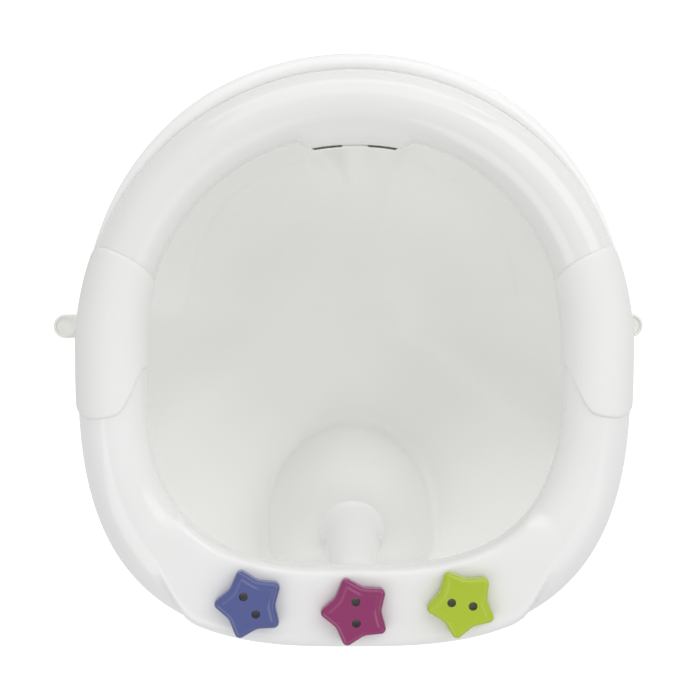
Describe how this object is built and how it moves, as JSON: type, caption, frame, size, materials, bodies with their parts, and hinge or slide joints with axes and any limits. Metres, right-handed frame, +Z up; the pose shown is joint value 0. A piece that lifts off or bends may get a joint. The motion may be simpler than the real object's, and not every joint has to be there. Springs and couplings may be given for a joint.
{
  "type": "baby bath seat",
  "caption": "Moulded bath seat for a baby: a bucket with a pommel hump on suction cups, held in a round rail with soft arm pads and turning star toys on the front bar.",
  "frame": {"origin": "on the bath's surface, under the middle of the rail", "axes": "+Z up, -Y towards the front bar with the stars, +X to the right seen from the front bar's side of the picture"},
  "size_m": [0.408, 0.363, 0.215],
  "materials": {
    "shell_white": "moulded white plastic, soft gloss",
    "rail_white": "moulded white plastic, soft gloss",
    "front_white": "moulded white plastic, high gloss",
    "pad_white": "soft-touch white, matt",
    "peg_white": "moulded white plastic",
    "star_blue": "moulded blue plastic, soft gloss",
    "star_magenta": "moulded magenta plastic, soft gloss",
    "star_green": "moulded lime green plastic, soft gloss",
    "cup_clear": "clear soft plastic with a faint yellow-green tint"
  },
  "bodies": {
    "seat": {"seat_shell": "shell_white", "rail_tray": "rail_white", "back_rail": "rail_white", "front_rail": "front_white", "arm_pad_left": "pad_white", "arm_pad_right": "pad_white", "pommel_post": "front_white", "back_latch": "shell_white", "star_peg_left": "peg_white", "star_peg_centre": "peg_white", "star_peg_right": "peg_white", "suction_cup_left": "cup_clear", "suction_cup_right": "cup_clear", "suction_cup_front": "cup_clear", "suction_cup_back": "cup_clear"},
    "left_star": {"star_blue": "star_blue"},
    "centre_star": {"star_magenta": "star_magenta"},
    "right_star": {"star_green": "star_green"}
  },
  "joints": [
    {"name": "left_star_turn", "type": "hinge", "parent": "seat", "child": "left_star", "pos_m": [-0.06464, -0.15229, 0.21], "axis": [0, 0, 1], "continuous": true},
    {"name": "centre_star_turn", "type": "hinge", "parent": "seat", "child": "centre_star", "pos_m": [0, -0.157, 0.21], "axis": [0, 0, 1], "continuous": true},
    {"name": "right_star_turn", "type": "hinge", "parent": "seat", "child": "right_star", "pos_m": [0.06464, -0.15229, 0.21], "axis": [0, 0, 1], "continuous": true}
  ]
}
